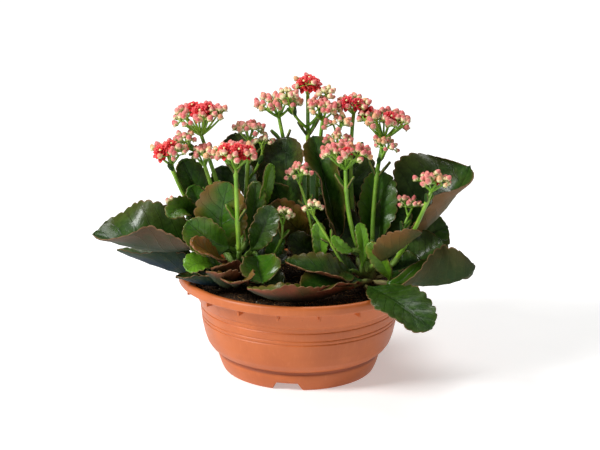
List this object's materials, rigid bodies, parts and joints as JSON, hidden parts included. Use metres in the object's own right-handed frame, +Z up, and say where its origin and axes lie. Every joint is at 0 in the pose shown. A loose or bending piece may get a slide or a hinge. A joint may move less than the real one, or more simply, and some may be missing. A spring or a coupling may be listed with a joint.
{
  "type": "potted kalanchoe",
  "caption": "Bushy flowering kalanchoe with scalloped succulent leaves and domed clusters of pink buds and red double flowers, growing in a low round plastic planter bowl.",
  "frame": {"origin": "centre of the underside of the whole object's box, on the surface that it stands on; the bowl's own axis is a few millimetres away", "axes": "+Z up, -Y the front of the bowl with the lower leaves in front, +X to the right, along the widest spread of the leaves"},
  "size_m": [0.3538, 0.257, 0.2767],
  "materials": {
    "terracotta_plastic": "satin",
    "potting_soil": "matte",
    "leaf": "gloss",
    "stem": "satin",
    "flower": "matte"
  },
  "bodies": {
    "root": {"bowl": "terracotta_plastic", "soil": "potting_soil", "stem_left": "stem", "stem_right": "stem", "stem_back": "stem", "leaf_left_outer_long": "leaf", "leaf_left_outer_low": "leaf", "leaf_left_rim": "leaf", "leaf_left_front_low": "leaf", "leaf_left_front_cupped": "leaf", "leaf_left_upright_large": "leaf", "leaf_left_upright_small": "leaf", "leaf_left_drooping": "leaf", "leaf_left_front_dark": "leaf", "leaf_left_reddish": "leaf", "leaf_left_back_dark": "leaf", "leaf_back_left_tall": "leaf", "leaf_back_left_narrow": "leaf", "leaf_back_centre_large": "leaf", "leaf_centre_folded": "leaf", "leaf_centre_bronze": "leaf", "leaf_back_right_tall": "leaf", "leaf_right_outer_large": "leaf", "leaf_right_outer_middle": "leaf", "leaf_right_glossy": "leaf", "leaf_right_outer_low": "leaf", "leaf_right_hanging": "leaf", "leaf_front_rim": "leaf", "leaf_front_low": "leaf", "leaf_right_upright": "leaf", "leaf_right_bronze": "leaf", "leaf_rear_right": "leaf", "leaf_rear_left": "leaf", "leaf_rear_left_side": "leaf", "leaf_rear_right_side": "leaf", "leaf_rear_upright": "leaf", "stalk_left_outer": "stem", "flowers_left_outer": "flower", "stalk_left_high": "stem", "flowers_left_high": "flower", "stalk_left_inner": "stem", "flowers_left_inner": "flower", "stalk_left_main": "stem", "flowers_left_main": "flower", "stalk_left_rear": "stem", "flowers_left_rear": "flower", "stalk_back_left": "stem", "flowers_back_left": "flower", "stalk_back_top": "stem", "flowers_back_top": "flower", "stalk_back_right": "stem", "flowers_back_right": "flower", "stalk_right_rear": "stem", "flowers_right_rear": "flower", "stalk_right_main": "stem", "flowers_right_main": "flower", "stalk_right_high": "stem", "flowers_right_high": "flower", "stalk_right_outer": "stem", "flowers_right_outer": "flower"}
  },
  "joints": []
}
